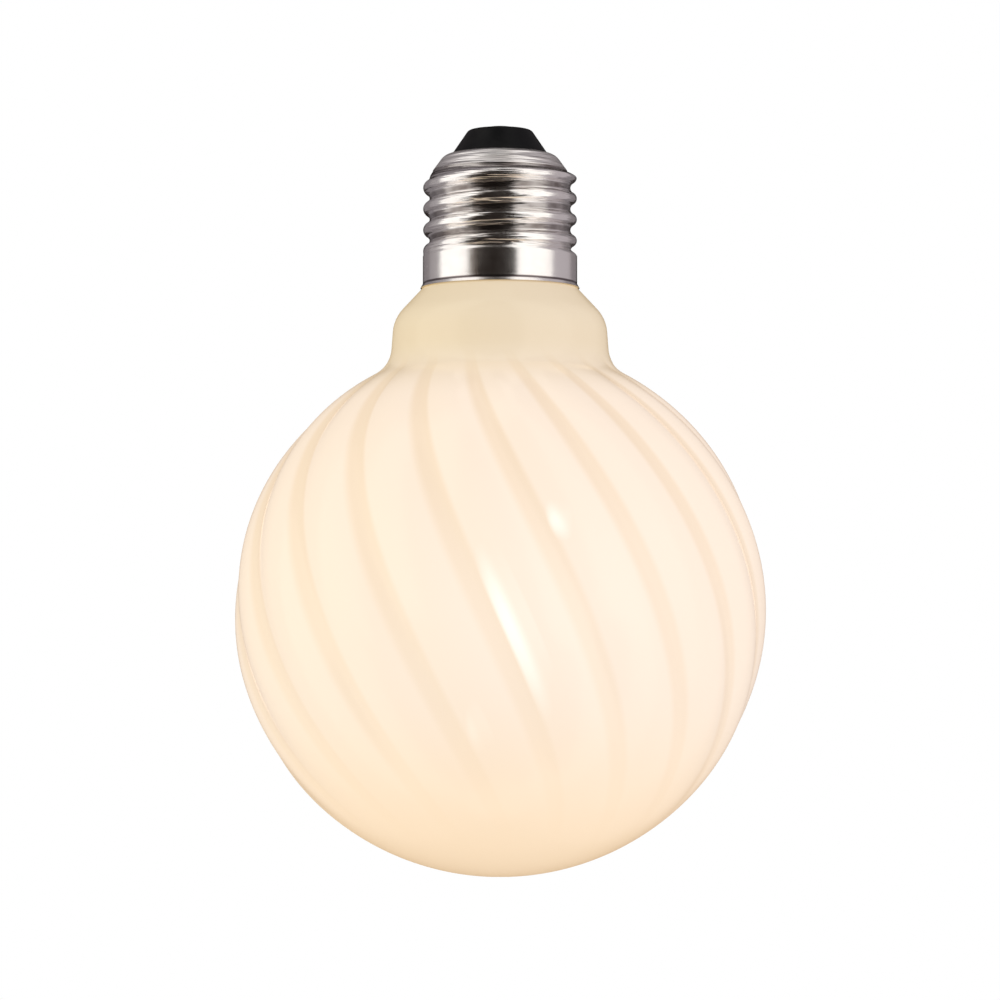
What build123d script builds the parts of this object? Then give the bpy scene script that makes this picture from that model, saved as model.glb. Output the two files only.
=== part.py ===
from build123d import *
from math import acos, asin, cos, degrees, hypot, pi, radians, sin, sqrt, tan
import os

# Blown globe in millimetres; the bulb hangs below the origin, which is the centre contact's tip
GLOBE_DIA = 90.4
GLOBE_HEIGHT = 90.8

# Swirl of the globe: a ring of rounded lobes, wound about the axis (angles in degrees)
LOBE_COUNT = 18
GROOVE_DEPTH = 1.0
GROOVE_SOFTNESS_RATIO = 0.18
GROOVE_ANGLE = -93.7
SWIRL_PER_LATITUDE = -0.462
SWIRL_START_LATITUDE = 70.0
SWIRL_FULL_LATITUDE = 50.0
SWIRL_FADE_LATITUDE = -6.0
SWIRL_END_LATITUDE = -62.0

# Collar of the globe under the cap: a cone and a waist, with rounds between them and the globe
COLLAR_TOP_DIA = 26.4
COLLAR_SLOPE = 47.0
WAIST_TOP_DIA = 36.3
WAIST_TAPER = 0.6
WAIST_HEIGHT = 8.15
WAIST_FLARE = 3.2
COLLAR_ROUND = 6.3
WAIST_ROUND = 5.5

# Screw cap of the E27 size: drawn sheet metal with a rolled right-hand round thread
SHEET = 0.3
THREAD_DIA = 26.3
THREAD_PITCH = 3.629
THREAD_ROUND = 1.025
CREST_Z = -12.3
THREAD_RUN_OUT = 1.3
THREAD_STEP = 0.05
SHOULDER_Z = -4.7
SHOULDER_FLAT_DIA = 18.9
SHOULDER_DIA = 23.0
SHOULDER_SLOPE = 54.0
SHOULDER_ROUND = 2.4
SKIRT_Z = -22.3
SKIRT_DIA = 26.4
RIM_Z = -27.75
RIM_DIA = 27.2
RIM_HEIGHT = 0.7

# Black end insulator: a blunt cone that stands on the cap's shoulder, with a spigot in its hole
INSULATOR_Z = -0.5
INSULATOR_TOP_DIA = 10.8
INSULATOR_BASE_DIA = 16.5
INSULATOR_ROUND = 1.0
SPIGOT_DIA = 14.8
SPIGOT_LENGTH = 2.4

# Centre contact: a low head on the insulator and a shank through it
CONTACT_DIA = 7.0
CONTACT_TIP_DIA = 4.0
CONTACT_EDGE = 0.15
SHANK_DIA = 3.0
SHANK_LENGTH = 6.5

# Room between pieces that fit into each other, on the radius, and above the neck
SPIGOT_CLEARANCE = 0.05
SHANK_CLEARANCE = 0.05
NECK_CLEARANCE = 0.15
NECK_HEADROOM = 0.5

# Level sections that the two lofts go through, and the points on each
COLLAR_SECTION_COUNT = 20
GLOBE_SECTION_COUNT = 21
POLE_LATITUDE = -88.0
LOBE_POINT_COUNT = 9
PITCH_SECTION_COUNT = 12
THREAD_POINT_COUNT = 24

# Sizes that follow from the ones above
crest_r = THREAD_DIA / 2
root_r = crest_r - 2 * THREAD_ROUND + sqrt(4 * THREAD_ROUND**2 - THREAD_PITCH**2 / 4)
shoulder_r = SHOULDER_DIA / 2
flat_r = SHOULDER_FLAT_DIA / 2
skirt_r = SKIRT_DIA / 2
rim_r = RIM_DIA / 2
thread_z = SHOULDER_Z - (shoulder_r - flat_r) * tan(radians(SHOULDER_SLOPE))
globe_r = GLOBE_DIA / 2
half_height = GLOBE_HEIGHT / 2
waist_top_r = WAIST_TOP_DIA / 2
waist_r = waist_top_r + WAIST_TAPER
waist_top_z = RIM_Z - (waist_top_r - COLLAR_TOP_DIA / 2) * tan(radians(COLLAR_SLOPE))
waist_z = waist_top_z - WAIST_HEIGHT
joint_r = waist_r + WAIST_FLARE
joint_latitude = degrees(acos(joint_r / globe_r))
joint_z = waist_z - WAIST_FLARE * half_height / globe_r / tan(radians(joint_latitude))
globe_z = joint_z - half_height * sin(radians(joint_latitude))


def ramp(x):
    """A smooth rise from 0 to 1."""
    x = min(max(x, 0), 1)
    return x * x * (3 - 2 * x)


def spread(first, last, count):
    """Evenly spaced values from the first to the last."""
    return [first + (last - first) * i / (count - 1) for i in range(count)]


def around(r, angle, z):
    """A point at a radius and an angle about the axis."""
    return Vector(r * cos(radians(angle)), r * sin(radians(angle)), z)


def turned(*corners):
    """A solid of revolution from the corners (radius, height) of its half section."""
    outline = Polyline(*[(r, 0, z) for r, z in corners], close=True)
    return revolve(make_face(outline.edges()), Axis.Z)


def rounded_top(solid, radius):
    """The solid with the outer edge of its top rounded."""
    rings = solid.edges().filter_by(GeomType.CIRCLE).group_by(Axis.Z)[-1]
    return fillet(rings.sort_by(SortBy.RADIUS)[-1], radius)


def groove(across):
    """Share of the groove's depth across a lobe, from 1 at its edges to 0 at its crest."""
    soft = GROOVE_SOFTNESS_RATIO
    lift = hypot(sin(pi * across), soft) - soft
    return 1 - lift / (hypot(1, soft) - soft)


def lobed_section(r, z):
    """The glass cut level: a ring of lobes, each a curve from groove to groove."""
    latitude = degrees(asin(min((z - globe_z) / half_height, 1)))
    rise = (SWIRL_START_LATITUDE - latitude) / (SWIRL_START_LATITUDE - SWIRL_FULL_LATITUDE)
    fade = (latitude - SWIRL_END_LATITUDE) / (SWIRL_FADE_LATITUDE - SWIRL_END_LATITUDE)
    depth = GROOVE_DEPTH * ramp(rise) * ramp(fade)
    width = 360 / LOBE_COUNT
    edges = []
    for i in range(LOBE_COUNT):
        start = GROOVE_ANGLE + SWIRL_PER_LATITUDE * latitude + width * i
        places = spread(0, 1, LOBE_POINT_COUNT)
        points = [around(r - depth * groove(p), start + width * p, z) for p in places]
        ends = [Axis.Z.direction.cross(points[0]), Axis.Z.direction.cross(points[-1])]
        edges.append(Edge.make_spline(points, tangents=ends, parameters=places))
    return Wire(edges)


def thread_radius(rise):
    """Radius of the thread at a height above a crest: two tangent arcs to each pitch."""
    off = abs((rise / THREAD_PITCH + 0.5) % 1 - 0.5) * THREAD_PITCH
    if off < THREAD_PITCH / 4:
        return crest_r - THREAD_ROUND + sqrt(THREAD_ROUND**2 - off**2)
    return root_r + THREAD_ROUND - sqrt(THREAD_ROUND**2 - (THREAD_PITCH / 2 - off) ** 2)


def thread_section(z):
    """The thread cut level: a cam that turns with height and runs out to a circle at each end."""
    start = ramp((thread_z - z) / THREAD_RUN_OUT)
    end = ramp((SKIRT_Z + THREAD_RUN_OUT - z) / THREAD_RUN_OUT)
    start_r = shoulder_r - THREAD_STEP
    turns = spread(0, 1, THREAD_POINT_COUNT + 1)
    points = []
    for turn in turns[:-1]:
        r = start_r + start * (thread_radius(z - CREST_Z - THREAD_PITCH * turn) - start_r)
        points.append(around(r + end * (crest_r - r), 360 * turn, z))
    return Wire([Edge.make_spline(points, parameters=turns, periodic=True)])


# Glass globe: the neck that the cap holds, and one loft down the collar and the swirl to the pole
collar = FilletPolyline(
    (COLLAR_TOP_DIA / 2, RIM_Z),
    (waist_top_r, waist_top_z),
    (waist_r, waist_z),
    (joint_r, joint_z),
    radius=[COLLAR_ROUND, WAIST_ROUND],
)
outline = [collar @ place for place in spread(0, 1, COLLAR_SECTION_COUNT)]
for latitude in spread(joint_latitude, POLE_LATITUDE, GLOBE_SECTION_COUNT)[1:]:
    angle = radians(latitude)
    outline.append(Vector(globe_r * cos(angle), globe_z + half_height * sin(angle)))
sections = [lobed_section(at.X, at.Y) for at in outline]
neck_r = skirt_r - SHEET - NECK_CLEARANCE
neck_z = SKIRT_Z - SHEET - NECK_HEADROOM
neck = turned((0, neck_z), (neck_r, neck_z), (neck_r, RIM_Z), (0, RIM_Z))
glass_globe = neck + Solid.make_loft(sections)

# Screw shell: shoulder, lofted thread and skirt in one sheet, with a hole for the insulator
shoulder = turned((0, SHOULDER_Z), (flat_r, SHOULDER_Z), (shoulder_r, thread_z), (0, thread_z))
shoulder = rounded_top(shoulder, SHOULDER_ROUND)
level_count = 1 + round((thread_z - SKIRT_Z) / THREAD_PITCH * PITCH_SECTION_COUNT)
thread = Solid.make_loft([thread_section(z) for z in spread(thread_z, SKIRT_Z, level_count)])
flare_z = RIM_Z + RIM_HEIGHT
skirt = turned((0, SKIRT_Z), (skirt_r, SKIRT_Z), (skirt_r, flare_z), (rim_r, RIM_Z), (0, RIM_Z))
bore_r = root_r - SHEET
under_z = SHOULDER_Z - SHEET
under_r = flat_r - SHEET * tan(radians(SHOULDER_SLOPE / 2))
bore = turned(
    (0, under_z),
    (under_r, under_z),
    (bore_r, thread_z - THREAD_RUN_OUT),
    (bore_r, SKIRT_Z - SHEET),
    (skirt_r - SHEET, SKIRT_Z - SHEET),
    (skirt_r - SHEET, flare_z),
    (rim_r - SHEET, RIM_Z),
    (0, RIM_Z),
)
bore = rounded_top(bore, SHOULDER_ROUND - SHEET)
spigot_r = SPIGOT_DIA / 2
hole_r = spigot_r + SPIGOT_CLEARANCE
hole = turned((0, SHOULDER_Z), (hole_r, SHOULDER_Z), (hole_r, under_z), (0, under_z))
screw_shell = thread + skirt + shoulder - bore - hole

# End insulator: cone, seat on the shoulder and spigot, bored for the contact's shank
shank_r = SHANK_DIA / 2
spigot_z = SHOULDER_Z - SPIGOT_LENGTH
shank_hole_r = shank_r + SHANK_CLEARANCE
end_insulator = turned(
    (shank_hole_r, INSULATOR_Z),
    (INSULATOR_TOP_DIA / 2, INSULATOR_Z),
    (INSULATOR_BASE_DIA / 2, SHOULDER_Z),
    (spigot_r, SHOULDER_Z),
    (spigot_r, spigot_z),
    (shank_hole_r, spigot_z),
)
end_insulator = rounded_top(end_insulator, INSULATOR_ROUND)

# Centre contact: the flat tip, the sloped head and the shank
centre_contact = turned(
    (0, 0),
    (CONTACT_TIP_DIA / 2, 0),
    (CONTACT_DIA / 2, INSULATOR_Z + CONTACT_EDGE),
    (CONTACT_DIA / 2, INSULATOR_Z),
    (shank_r, INSULATOR_Z),
    (shank_r, -SHANK_LENGTH),
    (0, -SHANK_LENGTH),
)

os.makedirs("parts", exist_ok=True)
export_step(glass_globe, "parts/glass_globe.step")
export_step(screw_shell, "parts/screw_shell.step")
export_step(end_insulator, "parts/end_insulator.step")
export_step(centre_contact, "parts/centre_contact.step")
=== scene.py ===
from math import acos, cos, pi, radians, sin, tan

import bpy
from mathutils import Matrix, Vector


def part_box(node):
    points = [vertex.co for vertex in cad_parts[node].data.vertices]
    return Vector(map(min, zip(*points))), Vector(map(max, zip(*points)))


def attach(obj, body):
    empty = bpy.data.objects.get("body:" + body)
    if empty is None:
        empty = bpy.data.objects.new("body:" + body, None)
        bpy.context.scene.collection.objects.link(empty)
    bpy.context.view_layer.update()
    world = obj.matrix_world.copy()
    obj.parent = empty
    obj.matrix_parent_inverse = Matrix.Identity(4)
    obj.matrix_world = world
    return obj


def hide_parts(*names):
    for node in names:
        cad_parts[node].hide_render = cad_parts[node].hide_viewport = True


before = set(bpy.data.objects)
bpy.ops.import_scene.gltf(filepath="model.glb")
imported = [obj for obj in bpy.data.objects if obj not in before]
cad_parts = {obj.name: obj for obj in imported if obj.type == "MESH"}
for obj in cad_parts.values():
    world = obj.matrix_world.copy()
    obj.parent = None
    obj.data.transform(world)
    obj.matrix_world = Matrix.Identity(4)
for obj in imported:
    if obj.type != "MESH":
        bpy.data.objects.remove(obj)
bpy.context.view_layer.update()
scene = bpy.context.scene


# Glass globe: one sealed envelope of opal glass, blown into a ribbed mould and turned as it left it,
# so that its lobes wind about the axis. Its neck is cemented into the screw cap, and the light
# inside it shows as a warm glow in the wall, weaker in bands along the grooves. Painted shade
# leans the bands onto one flank, and painted highlights streak the grooves' flanks.
GLOBE_RADIUS = 0.0452
GLOBE_HALF_HEIGHT = 0.0454
GLOBE_ROWS = 120
POLE_LATITUDE = radians(-88)
COLLAR_TOP_RADIUS = 0.0132
# Corners are radius, height and rounding
WAIST_TOP = (0.01815, -0.033058, 0.0063)
WAIST_FOOT = (0.01875, -0.041208, 0.0055)
WAIST_FLARE = 0.0032
NECK_RADIUS = 0.01275
NECK_ROUND = 0.0006
RIM_HEIGHT = -0.02775
GLASS_STEP = 0.0009
GLASS_SEGMENTS = 432
GLASS_SWIRL = {
    "Lobes": 18,
    "Groove Depth": 0.001,
    "Groove Softness": 0.18,
    "Groove Angle": radians(-93.7),
    "Swirl": -0.462,
    "Start Latitude": radians(70),
    "Full Latitude": radians(50),
    "Fade Latitude": radians(-6),
    "End Latitude": radians(-62),
}
ARC_STEP = radians(6)
ARC_LEAST_PARTS = 4
EDGE_ANGLE = radians(35)
MERGE_DISTANCE = 1e-6

# The glass, and its glow on the lobes, in the bands along the grooves, at the foot and in the collar
OPAL = (0.54, 0.505, 0.445, 1)
OPAL_GROOVE = (0.52, 0.475, 0.405, 1)
OPAL_ROUGHNESS = 0.18
OPAL_SHINE = 0.2
OPAL_SMUDGE_SCALE = 26
OPAL_SMUDGE_ROUGHNESS = 0.06
RIPPLE_SCALE = 55
RIPPLE_DEPTH = 0.002
RIPPLE_STRENGTH = 0.05
CREST_GLOW = (0.44, 0.322, 0.24, 1)
GROOVE_GLOW = (0.40, 0.265, 0.155, 1)
# The bands lean onto one flank of each groove: painted shade
SHADE_LEAN = -0.16
BAND_EDGES = (0.52, 0.88)
BAND_FADE_HEIGHTS = (-0.095, -0.052)
BAND_STRENGTHS = (0.6, 0.92)
FOOT_GLOW = (0.50, 0.32, 0.155, 1)
FOOT_HEIGHTS = (-0.096, -0.126)
COLLAR_GLOW = (0.265, 0.165, 0.045, 1)
COLLAR_HEIGHTS = (-0.049, -0.037)

# Painted highlights: streaks of light, each on the flank of a groove, in a weak painted glow
HIGHLIGHT_REPEATS = 3
PAINTED_HIGHLIGHT = (0.60, 0.575, 0.54, 1)
HIGHLIGHT_STREAKS = [
    {"middle": radians(-86), "width": radians(11), "top": -0.067, "foot": -0.106, "strength": 1},
    {"middle": radians(-77), "width": radians(3.5), "top": -0.0660, "foot": -0.0745, "strength": 0.7},
    {"middle": radians(-94), "width": radians(4.5), "top": -0.0965, "foot": -0.1085, "strength": 0.5},
]
HIGHLIGHT_HAZE = {
    "middle": radians(-84),
    "width": radians(40),
    "top": -0.058,
    "foot": -0.112,
    "strength": 0.1,
}
FLANK_EDGES = (0.2, 0.6)
FLANK_STRENGTHS = (0.25, 1)

# Marks of handling that every finish shares
SMUDGE_EDGES = (0.38, 0.66)
SMUDGE_DETAIL = 4
GRAIN_RATIO = 24
GRAIN_DETAIL = 2


def add_node(tree, kind, inputs=None, **settings):
    """A new node with its settings, and with inputs that are values or other nodes' outputs."""
    node = tree.nodes.new(kind)
    for name, value in settings.items():
        setattr(node, name, value)
    for name, value in (inputs or {}).items():
        if isinstance(value, bpy.types.NodeSocket):
            tree.links.new(value, node.inputs[name])
        else:
            node.inputs[name].default_value = value
    return node


def calc(tree, operation, *values):
    """The result of one sum on values or other nodes' outputs."""
    return add_node(tree, "ShaderNodeMath", dict(enumerate(values)), operation=operation).outputs[0]


def smooth_rise(tree, value, low, high):
    """0 below the low value, 1 above the high one, and a smooth rise between them."""
    inputs = {"Value": value, "From Min": low, "From Max": high}
    return add_node(tree, "ShaderNodeMapRange", inputs, interpolation_type="SMOOTHSTEP").outputs[0]


def between(tree, share, low, high):
    """The low value where the share is 0, the high one where it is 1."""
    return calc(tree, "MULTIPLY_ADD", share, calc(tree, "SUBTRACT", high, low), low)


def product(tree, first, *others):
    """All the values multiplied."""
    for value in others:
        first = calc(tree, "MULTIPLY", first, value)
    return first


def weighted(tree, base, *terms):
    """A base with terms (value, weight) added to it."""
    for value, weight in terms:
        base = calc(tree, "MULTIPLY_ADD", value, weight, base)
    return base


def new_tree(name, kind, inputs, outputs):
    """A node tree with named sockets; gives the tree, what comes in and what goes out."""
    tree = bpy.data.node_groups.new(name, kind)
    for side, sockets in (("INPUT", inputs), ("OUTPUT", outputs)):
        for label, socket in sockets.items():
            tree.interface.new_socket(label, in_out=side, socket_type="NodeSocket" + socket)
    return tree, tree.nodes.new("NodeGroupInput").outputs, tree.nodes.new("NodeGroupOutput").inputs


def new_piece_tree(name, sizes=()):
    """A geometry tree that makes a piece from its outline, with named sizes."""
    inputs = {"Outline": "Geometry", "Segments": "Int", "Material": "Material"}
    inputs |= {size: "Float" for size in sizes}
    return new_tree(name, "GeometryNodeTree", inputs, {"Piece": "Geometry"})


def position_parts(tree):
    """Height, angle about the axis and level direction away from it of each point."""
    spot = tree.nodes.new("GeometryNodeInputPosition").outputs[0]
    x, y, z = add_node(tree, "ShaderNodeSeparateXYZ", {0: spot}).outputs
    level = add_node(tree, "ShaderNodeCombineXYZ", {"X": x, "Y": y}).outputs[0]
    return z, calc(tree, "ARCTAN2", y, x), level


def spin_tree():
    """Spins an outline of points (radius, 0, height) about the axis into a closed skin."""
    inputs = {"Outline": "Geometry", "Segments": "Int"}
    tree, given, result = new_tree("Spin outline", "GeometryNodeTree", inputs, {"Skin": "Geometry"})
    outline, segments = given["Outline"], given["Segments"]
    size = add_node(tree, "GeometryNodeAttributeDomainSize", {"Geometry": outline}, component="MESH")
    count = size.outputs["Point Count"]
    columns = calc(tree, "ADD", segments, 1)
    grid = add_node(tree, "GeometryNodeMeshGrid", {"Vertices X": columns, "Vertices Y": count})
    index = tree.nodes.new("GeometryNodeInputIndex").outputs[0]
    column = calc(tree, "FLOOR", calc(tree, "DIVIDE", index, count))
    turn = calc(tree, "MULTIPLY", calc(tree, "DIVIDE", column, segments), 2 * pi)
    outline_spot = add_node(
        tree,
        "GeometryNodeSampleIndex",
        {
            "Geometry": outline,
            "Value": tree.nodes.new("GeometryNodeInputPosition").outputs[0],
            "Index": calc(tree, "MODULO", index, count),
        },
        data_type="FLOAT_VECTOR",
    )
    radius, _, height = add_node(tree, "ShaderNodeSeparateXYZ", {0: outline_spot.outputs[0]}).outputs
    across = calc(tree, "MULTIPLY", radius, calc(tree, "COSINE", turn))
    along = calc(tree, "MULTIPLY", radius, calc(tree, "SINE", turn))
    spun = add_node(tree, "ShaderNodeCombineXYZ", {"X": across, "Y": along, "Z": height}).outputs[0]
    inputs = {"Geometry": grid.outputs["Mesh"], "Position": spun}
    placed = add_node(tree, "GeometryNodeSetPosition", inputs).outputs[0]
    inputs = {"Geometry": placed, "Distance": MERGE_DISTANCE}
    closed = add_node(tree, "GeometryNodeMergeByDistance", inputs).outputs[0]
    skin = add_node(tree, "GeometryNodeSetShadeSmooth", {"Geometry": closed}).outputs[0]
    tree.links.new(skin, result["Skin"])
    return tree


spin = spin_tree()


def spun_skin(tree, given):
    """The skin spun from a tree's own outline."""
    inputs = {name: given[name] for name in ("Outline", "Segments")}
    return add_node(tree, "GeometryNodeGroup", inputs, node_tree=spin).outputs["Skin"]


def marked(tree, skin, name, value):
    """The skin with a value kept on its points for the material to read."""
    kind = "GeometryNodeStoreNamedAttribute"
    inputs = {"Geometry": skin, "Name": name, "Value": value}
    return add_node(tree, kind, inputs, data_type="FLOAT", domain="POINT").outputs[0]


def moved_out(tree, skin, level, distance):
    """The skin with its points moved level away from the axis."""
    outward = add_node(tree, "ShaderNodeVectorMath", {0: level}, operation="NORMALIZE").outputs[0]
    inputs = {0: outward, "Scale": distance}
    offset = add_node(tree, "ShaderNodeVectorMath", inputs, operation="SCALE").outputs[0]
    return add_node(tree, "GeometryNodeSetPosition", {"Geometry": skin, "Offset": offset}).outputs[0]


def finish_tree(tree, skin, given, result):
    """Ends a tree: one real mesh with the piece's material."""
    real = add_node(tree, "GeometryNodeRealizeInstances", {"Geometry": skin}).outputs[0]
    inputs = {"Geometry": real, "Material": given["Material"]}
    tree.links.new(add_node(tree, "GeometryNodeSetMaterial", inputs).outputs[0], result["Piece"])
    return tree


def swirled_globe():
    """Spins the globe's outline and presses the wound grooves between its lobes."""
    tree, given, result = new_piece_tree("Swirled globe", [*GLASS_SWIRL, "Centre", "Half Height"])
    height, angle, level = position_parts(tree)
    rise = calc(tree, "DIVIDE", calc(tree, "SUBTRACT", height, given["Centre"]), given["Half Height"])
    latitude = calc(tree, "ARCSINE", rise)
    wound = calc(tree, "MULTIPLY_ADD", given["Swirl"], latitude, given["Groove Angle"])
    turn = calc(tree, "SUBTRACT", angle, wound)
    lobe = calc(tree, "MULTIPLY", turn, calc(tree, "DIVIDE", given["Lobes"], 2))
    soft = given["Groove Softness"]
    wave = calc(tree, "SINE", lobe)
    square = calc(tree, "MULTIPLY_ADD", wave, wave, calc(tree, "MULTIPLY", soft, soft))
    lift = calc(tree, "SQRT", square)
    peak = calc(tree, "SQRT", calc(tree, "MULTIPLY_ADD", soft, soft, 1))
    sunk = calc(tree, "SUBTRACT", peak, lift)
    groove = calc(tree, "DIVIDE", sunk, calc(tree, "SUBTRACT", peak, soft))
    side = calc(tree, "SINE", calc(tree, "MULTIPLY", lobe, 2))
    begun = smooth_rise(tree, latitude, given["Start Latitude"], given["Full Latitude"])
    ended = smooth_rise(tree, latitude, given["End Latitude"], given["Fade Latitude"])
    swirl = calc(tree, "MULTIPLY", begun, ended)
    skin = spun_skin(tree, given)
    for name, value in (("groove", groove), ("side", side), ("swirl", swirl)):
        skin = marked(tree, skin, name, value)
    press = product(tree, swirl, given["Groove Depth"], groove, -1)
    return finish_tree(tree, moved_out(tree, skin, level, press), given, result)


def rounded(corners, step):
    """Points along an outline of corners (radius, height, rounding), no further apart than the step."""
    path = []
    for i, (r, z, rounding) in enumerate(corners):
        corner = Vector((r, z))
        if rounding == 0:
            path.append(corner)
            continue
        before = (Vector(corners[i - 1][:2]) - corner).normalized()
        after = (Vector(corners[i + 1][:2]) - corner).normalized()
        half = before.angle(after) / 2
        centre = corner + (before + after).normalized() * rounding / sin(half)
        start = corner + before * rounding / tan(half) - centre
        end = corner + after * rounding / tan(half) - centre
        turn = pi - 2 * half
        count = max(ARC_LEAST_PARTS, round(turn / ARC_STEP))
        for k in range(count + 1):
            share = k / count
            spoke = start * sin((1 - share) * turn) + end * sin(share * turn)
            path.append(centre + spoke / sin(turn))
    points = [path[0]]
    for spot in path[1:]:
        run = spot - points[-1]
        parts = max(1, round(run.length / step))
        points += [points[-1] + run * (k + 1) / parts for k in range(parts)]
    return points


def make_piece(name, outline, tree, material, sizes, sheet=0):
    """A plain mesh from an outline and a geometry tree with its sizes.

    A sheet gets a wall inside the outline, trimmed level at its foot.
    """
    mesh = bpy.data.meshes.new(name)
    mesh.from_pydata([(r, 0, z) for r, z in outline], [], [])
    piece = bpy.data.objects.new(name, mesh)
    scene.collection.objects.link(piece)
    grow = piece.modifiers.new(tree.name, "NODES")
    grow.node_group = tree
    values = sizes | {"Material": material}
    for item in tree.interface.items_tree:
        if item.name in values:
            grow[item.identifier] = values[item.name]
    if sheet:
        wall = piece.modifiers.new("Wall", "SOLIDIFY")
        wall.thickness = sheet
        wall.offset = -1
        wall.use_even_offset = True
    grown = piece.evaluated_get(bpy.context.evaluated_depsgraph_get())
    made = bpy.data.meshes.new_from_object(grown)
    piece.modifiers.clear()
    piece.data = made
    made.name = name
    if sheet:
        foot = min(z for _, z in outline)
        for corner in made.vertices:
            corner.co.z = max(corner.co.z, foot)
    made.set_sharp_from_angle(angle=EDGE_ANGLE)
    return piece


def new_material(name):
    """A material with an empty node tree."""
    material = bpy.data.materials.new(name)
    material.use_nodes = True
    material.node_tree.nodes.clear()
    return material, material.node_tree


def end_material(tree, kind, inputs):
    """Ends a material's tree with its shader."""
    shader = add_node(tree, kind, inputs)
    add_node(tree, "ShaderNodeOutputMaterial", {"Surface": shader.outputs[0]})


def object_spot(tree):
    """Where a point lies on its piece."""
    return tree.nodes.new("ShaderNodeTexCoord").outputs["Object"]


def read_mark(tree, name):
    """A value kept on the piece's points."""
    return add_node(tree, "ShaderNodeAttribute", attribute_name=name).outputs["Fac"]


def mixed(tree, share, first, second):
    """A colour between two."""
    return add_node(tree, "ShaderNodeMix", {0: share, 6: first, 7: second}, data_type="RGBA").outputs[2]


def noise(tree, spot, scale, detail):
    """Soft random values from 0 to 1."""
    inputs = {"Vector": spot, "Scale": scale, "Detail": detail}
    return add_node(tree, "ShaderNodeTexNoise", inputs).outputs[0]


def bumped(tree, height, depth, strength):
    """A surface that rises and falls with a height."""
    inputs = {"Height": height, "Distance": depth, "Strength": strength}
    return add_node(tree, "ShaderNodeBump", inputs).outputs[0]


def handling_marks():
    """Shared marks of handling: broad soft smudges and a fine grain, from 0 to 1."""
    inputs = {"Spot": "Vector", "Scale": "Float"}
    outputs = {"Smudge": "Float", "Grain": "Float"}
    tree, given, result = new_tree("Handling marks", "ShaderNodeTree", inputs, outputs)
    broad = noise(tree, given["Spot"], given["Scale"], SMUDGE_DETAIL)
    fine_scale = calc(tree, "MULTIPLY", given["Scale"], GRAIN_RATIO)
    fine = noise(tree, given["Spot"], fine_scale, GRAIN_DETAIL)
    tree.links.new(smooth_rise(tree, broad, *SMUDGE_EDGES), result["Smudge"])
    tree.links.new(fine, result["Grain"])
    return tree


marks_tree = handling_marks()


def add_marks(tree, spot, scale):
    """The shared marks at a scale, as outputs Smudge and Grain."""
    inputs = {"Spot": spot, "Scale": scale}
    return add_node(tree, "ShaderNodeGroup", inputs, node_tree=marks_tree).outputs


def streak(tree, spot, middle, width, top, foot, strength):
    """A painted highlight: a streak of light, repeated about the axis, which fades to its sides, top and
    foot.
    """
    x, y, height = add_node(tree, "ShaderNodeSeparateXYZ", {0: spot}).outputs
    turn = calc(tree, "SUBTRACT", calc(tree, "ARCTAN2", y, x), middle)
    near = calc(tree, "COSINE", calc(tree, "MULTIPLY", turn, HIGHLIGHT_REPEATS))
    near = smooth_rise(tree, near, cos(width * HIGHLIGHT_REPEATS), 1)
    centre = (top + foot) / 2
    ends = [smooth_rise(tree, height, end, centre) for end in (top, foot)]
    return product(tree, near, *ends, strength)


def painted_highlights(tree, spot, side, groove):
    """Painted highlights: streaks on one flank of the grooves, in a weak painted glow."""
    edge = between(tree, smooth_rise(tree, groove, *FLANK_EDGES), *FLANK_STRENGTHS)
    flank = calc(tree, "MULTIPLY", smooth_rise(tree, side, *FLANK_EDGES), edge)
    light = 0
    for sizes in HIGHLIGHT_STREAKS:
        light = calc(tree, "MAXIMUM", light, streak(tree, spot, **sizes))
    light = calc(tree, "MULTIPLY", light, flank)
    return calc(tree, "MAXIMUM", light, streak(tree, spot, **HIGHLIGHT_HAZE))


def opal_glass():
    """Glossy warm-white opal glass, lit from inside, with painted highlights and painted shade."""
    material, tree = new_material("Opal glass")
    spot = object_spot(tree)
    height = add_node(tree, "ShaderNodeSeparateXYZ", {0: spot}).outputs["Z"]
    groove, side, swirl = (read_mark(tree, name) for name in ("groove", "side", "swirl"))
    # Darker bands along the grooves, leaned onto one flank of each groove as painted shade
    shaded_groove = calc(tree, "MULTIPLY_ADD", side, SHADE_LEAN, groove)
    faded = between(tree, smooth_rise(tree, height, *BAND_FADE_HEIGHTS), *BAND_STRENGTHS)
    band = smooth_rise(tree, shaded_groove, *BAND_EDGES)
    band = product(tree, band, calc(tree, "SQRT", swirl), faded)
    glow = mixed(tree, band, CREST_GLOW, GROOVE_GLOW)
    # Painted highlights: light streaks on the grooves' flanks
    glow = mixed(tree, painted_highlights(tree, spot, side, groove), glow, PAINTED_HIGHLIGHT)
    glow = mixed(tree, smooth_rise(tree, height, *FOOT_HEIGHTS), glow, FOOT_GLOW)
    glow = mixed(tree, smooth_rise(tree, height, *COLLAR_HEIGHTS), glow, COLLAR_GLOW)
    smudge = add_marks(tree, spot, OPAL_SMUDGE_SCALE)["Smudge"]
    ripple = noise(tree, spot, RIPPLE_SCALE, 1)
    end_material(
        tree,
        "ShaderNodeBsdfPrincipled",
        {
            "Base Color": mixed(tree, band, OPAL, OPAL_GROOVE),
            "Roughness": weighted(tree, OPAL_ROUGHNESS, (smudge, OPAL_SMUDGE_ROUGHNESS)),
            "Specular IOR Level": OPAL_SHINE,
            "Emission Color": glow,
            "Emission Strength": 1,
            "Normal": bumped(tree, ripple, RIPPLE_DEPTH, RIPPLE_STRENGTH),
        },
    )
    return material


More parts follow.
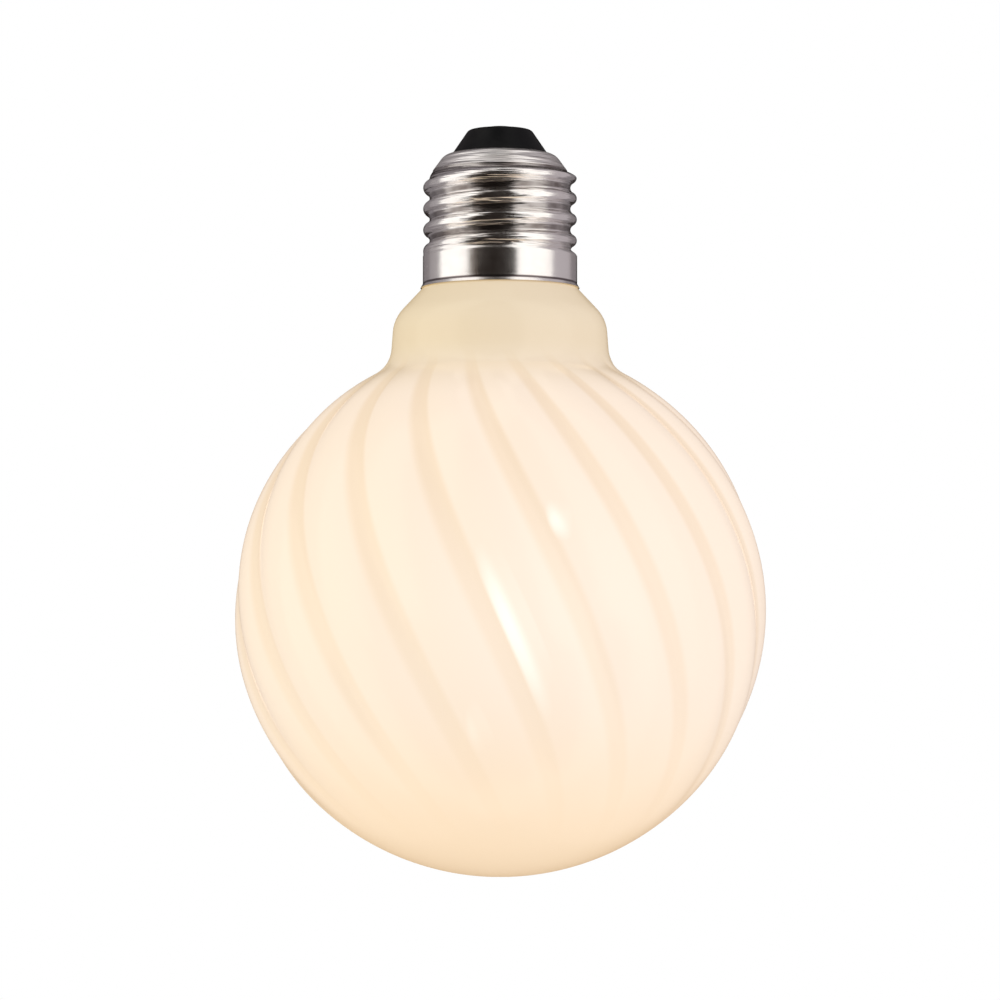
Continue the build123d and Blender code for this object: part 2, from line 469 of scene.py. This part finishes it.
globe_low, globe_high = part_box("glass_globe")
globe_centre = globe_low.z - GLOBE_HALF_HEIGHT * sin(POLE_LATITUDE)
joint_latitude = acos((WAIST_FOOT[0] + WAIST_FLARE) / GLOBE_RADIUS)
globe_outline = [Vector((0, globe_low.z))]
for row in range(GLOBE_ROWS + 1):
    latitude = POLE_LATITUDE + (joint_latitude - POLE_LATITUDE) * row / GLOBE_ROWS
    level_height = globe_centre + GLOBE_HALF_HEIGHT * sin(latitude)
    globe_outline.append(Vector((GLOBE_RADIUS * cos(latitude), level_height)))
collar_corners = [
    (*globe_outline.pop(), 0),
    WAIST_FOOT,
    WAIST_TOP,
    (COLLAR_TOP_RADIUS, RIM_HEIGHT, 0),
    (NECK_RADIUS, RIM_HEIGHT, 0),
    (NECK_RADIUS, globe_high.z, NECK_ROUND),
    (0, globe_high.z, 0),
]
globe_outline += rounded(collar_corners, GLASS_STEP)
globe_sizes = {"Segments": GLASS_SEGMENTS, "Centre": globe_centre, "Half Height": GLOBE_HALF_HEIGHT}
glass_globe = make_piece(
    "opal_globe",
    globe_outline,
    swirled_globe(),
    opal_glass(),
    GLASS_SWIRL | globe_sizes,
)
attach(glass_globe, "root")
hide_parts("glass_globe")


# Screw shell: the lamp cap's sleeve, drawn from thin brass sheet, its round thread rolled in and
# the whole plated with bright nickel. It is crimped and cemented over the neck of the globe.
SHEET = 0.0003
THREAD = {
    "Pitch": 0.003629,
    "Thread Round": 0.001025,
    "Crest Radius": 0.01315,
    "Root Radius": 0.012054,
    "Crest Height": -0.0123,
    "Run Out": 0.0013,
    "Start Radius": 0.01145,
    "Top": -0.007522,
    "Foot": -0.0223,
}
SHELL_STEP = 0.00016
SHELL_SEGMENTS = 200
SKIRT_RADIUS = 0.0132
RIM_RADIUS = 0.0136
RIM_FLARE = 0.0007
SHOULDER = (0.00945, -0.0047, 0.0024)
SHOULDER_FOOT_RADIUS = 0.0115
HOLE_RADIUS = 0.00745

# The plate, worn in patches, with painted shade in the thread's roots and in the fold above the rim
NICKEL = (0.90, 0.875, 0.86, 1)
NICKEL_WORN = (0.80, 0.75, 0.72, 1)
WORN_SHARE = 0.45
ROOT_SHADE = (0.14, 0.11, 0.10, 1)
ROOT_SHADE_EDGES = (0.8, 0.98)
ROOT_SHADE_STRENGTHS = (0.6, 0.95)
FOLD_SHADE = (0.16, 0.13, 0.13, 1)
FOLD_SHADE_EDGES = (0.0003, 0.0001)
NICKEL_ROUGHNESS = 0.15
NICKEL_SMUDGE_SCALE = 160
NICKEL_SMUDGE_ROUGHNESS = 0.06
SHOULDER_ROUGHNESS = 0.15
SHOULDER_BLEND = 0.0004

# Fine lines from drawing the sheet, and wisps from rolling it, which the skirt has less of
DRAWN_SCALE = (60, 60, 5200)
DRAWN_DETAIL = 3
DRAWN_ROUGHNESS = 0.10
DRAWN_RELIEF = 0.1
WISP_SCALE = (90, 90, 1700)
WISP_DETAIL = 2
WISP_RELIEFS = (0.6, 4.5)
WISP_BLEND = 0.001
RELIEF_DEPTH = 0.00008


def rolled_shell():
    """Spins the cap's outline and rolls the round thread into it."""
    tree, given, result = new_piece_tree("Rolled screw shell", THREAD)
    pitch, crest, root, bend = (given[n] for n in ("Pitch", "Crest Radius", "Root Radius", "Thread Round"))
    top, foot, run = (given[n] for n in ("Top", "Foot", "Run Out"))
    height, angle, level = position_parts(tree)
    turns = calc(tree, "DIVIDE", calc(tree, "SUBTRACT", height, given["Crest Height"]), pitch)
    turns = calc(tree, "SUBTRACT", turns, calc(tree, "DIVIDE", angle, 2 * pi))
    share = calc(tree, "SUBTRACT", calc(tree, "FRACT", calc(tree, "ADD", turns, 0.5)), 0.5)
    off = calc(tree, "MULTIPLY", calc(tree, "ABSOLUTE", share), pitch)
    far = calc(tree, "SUBTRACT", calc(tree, "MULTIPLY", pitch, 0.5), off)
    square = calc(tree, "MULTIPLY", bend, bend)
    crest_arc, root_arc = (
        calc(tree, "SQRT", calc(tree, "SUBTRACT", square, calc(tree, "MULTIPLY", gap, gap)))
        for gap in (off, far)
    )
    ridge = calc(tree, "ADD", calc(tree, "SUBTRACT", crest, bend), crest_arc)
    valley = calc(tree, "SUBTRACT", calc(tree, "ADD", root, bend), root_arc)
    wave = between(tree, calc(tree, "LESS_THAN", off, far), valley, ridge)
    run_in = smooth_rise(tree, height, top, calc(tree, "SUBTRACT", top, run))
    run_out = smooth_rise(tree, height, calc(tree, "ADD", foot, run), foot)
    begun = between(tree, run_in, given["Start Radius"], wave)
    ended = between(tree, run_out, begun, crest)
    below_top = calc(tree, "LESS_THAN", height, top)
    threaded = calc(tree, "MULTIPLY", below_top, calc(tree, "GREATER_THAN", height, foot))
    depth = calc(tree, "DIVIDE", calc(tree, "SUBTRACT", crest, ended), calc(tree, "SUBTRACT", crest, root))
    skin = marked(tree, spun_skin(tree, given), "root", calc(tree, "MULTIPLY", threaded, depth))
    radius = add_node(tree, "ShaderNodeVectorMath", {0: level}, operation="LENGTH").outputs["Value"]
    roll = calc(tree, "MULTIPLY", threaded, calc(tree, "SUBTRACT", ended, radius))
    return finish_tree(tree, moved_out(tree, skin, level, roll), given, result)


def stretched(tree, spot, scale):
    """Places on the piece, scaled along each axis."""
    return add_node(tree, "ShaderNodeMapping", {"Vector": spot, "Scale": scale}).outputs[0]


def bright_nickel():
    """Bright nickel plate with lines of drawing, wisps of rolling, smudges, and painted shade in the
    thread's roots and the fold.
    """
    material, tree = new_material("Bright nickel plate")
    spot = object_spot(tree)
    height = add_node(tree, "ShaderNodeSeparateXYZ", {0: spot}).outputs["Z"]
    smudge = add_marks(tree, spot, NICKEL_SMUDGE_SCALE)["Smudge"]
    drawn = noise(tree, stretched(tree, spot, DRAWN_SCALE), 1, DRAWN_DETAIL)
    wisps = noise(tree, stretched(tree, spot, WISP_SCALE), 1, WISP_DETAIL)
    thread_top, thread_foot = THREAD["Top"], THREAD["Foot"]
    shoulder = smooth_rise(tree, height, thread_top - SHOULDER_BLEND, thread_top + SHOULDER_BLEND)
    rolled = smooth_rise(tree, height, thread_foot, thread_foot + WISP_BLEND)
    # Painted shade in the thread's roots, deeper where the smudge mask is high
    root_shade = smooth_rise(tree, read_mark(tree, "root"), *ROOT_SHADE_EDGES)
    root_shade = calc(tree, "MULTIPLY", root_shade, between(tree, smudge, *ROOT_SHADE_STRENGTHS))
    from_fold = calc(tree, "ABSOLUTE", calc(tree, "SUBTRACT", height, RIM_HEIGHT + RIM_FLARE))
    colour = mixed(tree, calc(tree, "MULTIPLY", smudge, WORN_SHARE), NICKEL, NICKEL_WORN)
    colour = mixed(tree, root_shade, colour, ROOT_SHADE)
    # Painted shade: a dark line in the fold above the rim
    colour = mixed(tree, smooth_rise(tree, from_fold, *FOLD_SHADE_EDGES), colour, FOLD_SHADE)
    rough = weighted(
        tree,
        NICKEL_ROUGHNESS,
        (smudge, NICKEL_SMUDGE_ROUGHNESS),
        (drawn, DRAWN_ROUGHNESS),
        (shoulder, SHOULDER_ROUGHNESS),
    )
    relief = calc(tree, "MULTIPLY", wisps, between(tree, rolled, *WISP_RELIEFS))
    relief = weighted(tree, relief, (drawn, DRAWN_RELIEF))
    normal = bumped(tree, relief, RELIEF_DEPTH, 1)
    inputs = {"Base Color": colour, "Metallic": 1, "Roughness": rough, "Normal": normal}
    end_material(tree, "ShaderNodeBsdfPrincipled", inputs)
    return material


shell_corners = [
    (RIM_RADIUS, RIM_HEIGHT, 0),
    (SKIRT_RADIUS, RIM_HEIGHT + RIM_FLARE, RIM_FLARE / 2),
    (SKIRT_RADIUS, THREAD["Foot"], 0),
    (THREAD["Crest Radius"], THREAD["Foot"] + SHELL_STEP, 0),
    (THREAD["Crest Radius"], THREAD["Top"] - SHELL_STEP, 0),
    (SHOULDER_FOOT_RADIUS, THREAD["Top"], 0),
    SHOULDER,
    (HOLE_RADIUS, SHOULDER[1], 0),
]
screw_shell = make_piece(
    "threaded_shell",
    rounded(shell_corners, SHELL_STEP),
    rolled_shell(),
    bright_nickel(),
    THREAD | {"Segments": SHELL_SEGMENTS},
    sheet=SHEET,
)
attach(screw_shell, "root")
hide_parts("screw_shell")


# End insulator: a black moulding that keeps the centre contact apart from the shell. It stands on
# the shell's shoulder, and its spigot goes down through the hole there.
INSULATOR_SEGMENTS = 160
INSULATOR_STEP = 0.0004
INSULATOR_TOP = (0.0054, -0.0005, 0.001)
INSULATOR_FOOT = (0.00825, -0.0047, 0.00005)
SPIGOT_RADIUS = 0.0074
SPIGOT_FOOT = -0.0071
SPIGOT_ROUND = 0.0003
SHANK_HOLE_RADIUS = 0.00155
BLACK = (0.003, 0.003, 0.0035, 1)
BLACK_RUBBED = (0.008, 0.0078, 0.008, 1)
BLACK_ROUGHNESS = 0.36
BLACK_SHINE = 0.08
BLACK_SMUDGE_SCALE = 190
BLACK_SMUDGE_ROUGHNESS = 0.12
BLACK_GRAIN_DEPTH = 0.00006
BLACK_GRAIN_STRENGTH = 0.12


def turned_piece():
    """Spins an outline into a plain turned or moulded piece."""
    tree, given, result = new_piece_tree("Turned piece")
    return finish_tree(tree, spun_skin(tree, given), given, result)


turned = turned_piece()


def black_moulding():
    """Semi-matt black moulding with a fine grain, rubbed paler in patches."""
    material, tree = new_material("Black moulding")
    marks = add_marks(tree, object_spot(tree), BLACK_SMUDGE_SCALE)
    smudge = marks["Smudge"]
    end_material(
        tree,
        "ShaderNodeBsdfPrincipled",
        {
            "Base Color": mixed(tree, smudge, BLACK, BLACK_RUBBED),
            "Roughness": weighted(tree, BLACK_ROUGHNESS, (smudge, BLACK_SMUDGE_ROUGHNESS)),
            "Specular IOR Level": BLACK_SHINE,
            "Normal": bumped(tree, marks["Grain"], BLACK_GRAIN_DEPTH, BLACK_GRAIN_STRENGTH),
        },
    )
    return material


insulator_corners = [
    (SHANK_HOLE_RADIUS, SPIGOT_FOOT, 0),
    (SPIGOT_RADIUS, SPIGOT_FOOT, SPIGOT_ROUND),
    (SPIGOT_RADIUS, INSULATOR_FOOT[1], 0),
    INSULATOR_FOOT,
    INSULATOR_TOP,
    (SHANK_HOLE_RADIUS, INSULATOR_TOP[1], 0),
    (SHANK_HOLE_RADIUS, SPIGOT_FOOT, 0),
]
end_insulator = make_piece(
    "black_insulator",
    rounded(insulator_corners, INSULATOR_STEP),
    turned,
    black_moulding(),
    {"Segments": INSULATOR_SEGMENTS},
)
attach(end_insulator, "root")
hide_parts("end_insulator")


# Centre contact: the tinned contact that a lamp holder's spring presses on, a low head on the
# insulator with a shank that goes down through it.
CONTACT_STEP = 0.00025
CONTACT_SEGMENTS = 96
CONTACT_RADIUS = 0.0035
CONTACT_TIP_RADIUS = 0.002
CONTACT_TIP_ROUND = 0.0006
CONTACT_EDGE = 0.00015
CONTACT_EDGE_ROUND = 0.00006
SHANK_RADIUS = 0.0015
SHANK_FOOT = -0.0065
SHANK_ROUND = 0.0002
TIN = (0.60, 0.585, 0.56, 1)
TIN_DULL = (0.40, 0.375, 0.345, 1)
TIN_ROUGHNESS = 0.28
TIN_SMUDGE_SCALE = 420
TIN_SMUDGE_ROUGHNESS = 0.15
SCUFF_RATE = 26000
SCUFF_WOBBLE = 0.0002
SCUFF_ROUGHNESS = 0.08
SCUFF_DEPTH = 0.00004
SCUFF_STRENGTH = 0.2


def dull_tin():
    """Dull tin plate, scuffed in rings where a holder's spring rubs it."""
    material, tree = new_material("Dull tin plate")
    spot = object_spot(tree)
    marks = add_marks(tree, spot, TIN_SMUDGE_SCALE)
    smudge = marks["Smudge"]
    inputs = {0: spot, 1: (1, 1, 0)}
    level = add_node(tree, "ShaderNodeVectorMath", inputs, operation="MULTIPLY").outputs[0]
    radius = add_node(tree, "ShaderNodeVectorMath", {0: level}, operation="LENGTH").outputs["Value"]
    wobbly = weighted(tree, radius, (marks["Grain"], SCUFF_WOBBLE))
    wave = calc(tree, "SINE", calc(tree, "MULTIPLY", wobbly, SCUFF_RATE))
    rings = calc(tree, "MULTIPLY_ADD", wave, 0.5, 0.5)
    rough = weighted(tree, TIN_ROUGHNESS, (rings, SCUFF_ROUGHNESS), (smudge, TIN_SMUDGE_ROUGHNESS))
    end_material(
        tree,
        "ShaderNodeBsdfPrincipled",
        {
            "Base Color": mixed(tree, smudge, TIN, TIN_DULL),
            "Metallic": 1,
            "Roughness": rough,
            "Normal": bumped(tree, rings, SCUFF_DEPTH, SCUFF_STRENGTH),
        },
    )
    return material


contact_corners = [
    (0, SHANK_FOOT, 0),
    (SHANK_RADIUS, SHANK_FOOT, SHANK_ROUND),
    (SHANK_RADIUS, INSULATOR_TOP[1], 0),
    (CONTACT_RADIUS, INSULATOR_TOP[1], 0),
    (CONTACT_RADIUS, INSULATOR_TOP[1] + CONTACT_EDGE, CONTACT_EDGE_ROUND),
    (CONTACT_TIP_RADIUS, 0, CONTACT_TIP_ROUND),
    (0, 0, 0),
]
centre_contact = make_piece(
    "tin_contact",
    rounded(contact_corners, CONTACT_STEP),
    turned,
    dull_tin(),
    {"Segments": CONTACT_SEGMENTS},
)
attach(centre_contact, "root")
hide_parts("centre_contact")


# Studio: a pale floor far below the hanging bulb, a white surround, a softbox on each side, and
# plain boards that the bright cap and the glass mirror. Turns in the studio are in degrees.
STUDIO_MIDDLE = Vector((0, 0, -0.03))
SOFTBOX_DISTANCE = 1.1
SOFTBOX_ELEVATION = 6
SOFTBOX_SIZE = (1.15, 0.8)
SOFTBOX_POWER = 4.6
WARM_LIGHT = (1.0, 0.95, 0.68)
COOL_LIGHT = (0.95, 0.94, 1.0)
BOARD_DARK = (0.012, 0.008, 0.006, 1)
BOARD_BROWN = (0.12, 0.09, 0.07, 1)
BOARD_GREY = (0.46, 0.42, 0.44, 1)
BOARD_DULL = (0.35, 0.325, 0.335, 1)
BOARD_SHADE = (0.22, 0.20, 0.21, 1)
BOARD_WHITE = (1.25, 1.22, 1.18, 1)
BOARD_DISTANCE = 1.6
BOARD_FOOT = -80
BOARD_TOP = 82
BOARD_PARTS = 12
BACK_BOARD_TOP = 70
LOW_BOARD_TOP = -14
LOW_BOARD_DISTANCE = 1.5
FLOOR_HEIGHT = -0.9
FLOOR_RADIUS = 4
FLOOR_SEGMENTS = 128
FLOOR_PALE = (0.94, 0.94, 0.93, 1)
FLOOR_SHADE = (0.90, 0.90, 0.89, 1)
FLOOR_CLOUD_SCALE = 1.5
FLOOR_CLOUD_DETAIL = 2
FLOOR_ROUGHNESS = 0.8
SURROUND = (1, 1, 1, 1)
SURROUND_LIGHT = 0.8
CAMERA_SPOT = (0, -0.85, -0.125)
CAMERA_PITCH = radians(4.105)
CAMERA_LENS = 180
CAMERA_SENSOR = 36


def studio_spot(azimuth, elevation, distance):
    """A place about the bulb; azimuth 0 is towards the camera and grows to the right."""
    side, rise = radians(azimuth), radians(elevation)
    way = Vector((sin(side) * cos(rise), -cos(side) * cos(rise), sin(rise)))
    return STUDIO_MIDDLE + way * distance


def softbox(name, azimuth, colour):
    """A softbox that faces the bulb, which mirrors don't show."""
    lamp = bpy.data.lights.new(name, "AREA")
    lamp.shape = "RECTANGLE"
    lamp.size, lamp.size_y = SOFTBOX_SIZE
    lamp.energy = SOFTBOX_POWER
    lamp.color = colour
    box = bpy.data.objects.new(name, lamp)
    box.location = studio_spot(azimuth, SOFTBOX_ELEVATION, SOFTBOX_DISTANCE)
    box.rotation_euler = (box.location - STUDIO_MIDDLE).to_track_quat("Z", "Y").to_euler()
    box.visible_glossy = False
    scene.collection.objects.link(box)


softbox("left_softbox", azimuth=-72, colour=WARM_LIGHT)
softbox("right_softbox", azimuth=51, colour=COOL_LIGHT)


def curved_board(name, left, right, tone, top=BOARD_TOP, distance=BOARD_DISTANCE):
    """A plain board on part of a sphere about the bulb, which only mirrors show."""
    spots = []
    for column in range(BOARD_PARTS + 1):
        azimuth = left + (right - left) * column / BOARD_PARTS
        for row in range(BOARD_PARTS + 1):
            elevation = BOARD_FOOT + (top - BOARD_FOOT) * row / BOARD_PARTS
            spots.append(studio_spot(azimuth, elevation, distance))
    faces = []
    for column in range(BOARD_PARTS):
        for row in range(BOARD_PARTS):
            first = column * (BOARD_PARTS + 1) + row
            beside = first + BOARD_PARTS + 1
            faces.append((first, first + 1, beside + 1, beside))
    mesh = bpy.data.meshes.new(name)
    mesh.from_pydata(spots, [], faces)
    board = bpy.data.objects.new(name, mesh)
    scene.collection.objects.link(board)
    material, tree = new_material(name)
    end_material(tree, "ShaderNodeEmission", {"Color": tone})
    mesh.materials.append(material)
    board.visible_camera = False
    board.visible_diffuse = False
    board.visible_shadow = False


curved_board("dark_board", left=-36, right=25, tone=BOARD_DARK)
curved_board("brown_board", left=-47, right=-36, tone=BOARD_BROWN)
curved_board("left_white_board", left=-101, right=-47, tone=BOARD_WHITE)
curved_board("left_grey_board", left=-130, right=-101, tone=BOARD_DULL)
curved_board("left_shade_board", left=-160, right=-130, tone=BOARD_SHADE)
curved_board("right_white_board", left=25, right=84, tone=BOARD_WHITE)
curved_board("right_grey_board", left=84, right=130, tone=BOARD_GREY)
curved_board("right_shade_board", left=130, right=160, tone=BOARD_SHADE)
curved_board("low_board", -64, 48, BOARD_DARK, top=LOW_BOARD_TOP, distance=LOW_BOARD_DISTANCE)
curved_board("back_board", left=160, right=200, tone=BOARD_DARK, top=BACK_BOARD_TOP)


def pale_floor():
    """A round pale floor."""
    mesh = bpy.data.meshes.new("floor")
    rim = []
    for k in range(FLOOR_SEGMENTS):
        turn = 2 * pi * k / FLOOR_SEGMENTS
        rim.append((FLOOR_RADIUS * cos(turn), FLOOR_RADIUS * sin(turn), FLOOR_HEIGHT))
    mesh.from_pydata(rim, [], [range(FLOOR_SEGMENTS)])
    floor = bpy.data.objects.new("floor", mesh)
    scene.collection.objects.link(floor)
    material, tree = new_material("Pale floor")
    cloud = noise(tree, object_spot(tree), FLOOR_CLOUD_SCALE, FLOOR_CLOUD_DETAIL)
    colour = mixed(tree, cloud, FLOOR_PALE, FLOOR_SHADE)
    inputs = {"Base Color": colour, "Roughness": FLOOR_ROUGHNESS}
    end_material(tree, "ShaderNodeBsdfPrincipled", inputs)
    mesh.materials.append(material)
    floor.visible_glossy = False
    return floor


pale_floor()

world = bpy.data.worlds.new("White surround")
scene.world = world
world.use_nodes = True
surround = world.node_tree
surround.nodes.clear()
ray = surround.nodes.new("ShaderNodeLightPath").outputs
seen = calc(surround, "MAXIMUM", ray["Is Camera Ray"], ray["Is Glossy Ray"])
seen = calc(surround, "MAXIMUM", seen, ray["Is Transmission Ray"])
strength = between(surround, seen, SURROUND_LIGHT, 1)
white = add_node(surround, "ShaderNodeBackground", {"Color": SURROUND, "Strength": strength})
add_node(surround, "ShaderNodeOutputWorld", {"Surface": white.outputs[0]})

camera = bpy.data.objects.new("camera", bpy.data.cameras.new("camera"))
camera.data.lens = CAMERA_LENS
camera.data.sensor_width = CAMERA_SENSOR
camera.location = CAMERA_SPOT
camera.rotation_euler = (pi / 2 + CAMERA_PITCH, 0, 0)
scene.collection.objects.link(camera)
scene.camera = camera
scene.view_settings.view_transform = "Standard"
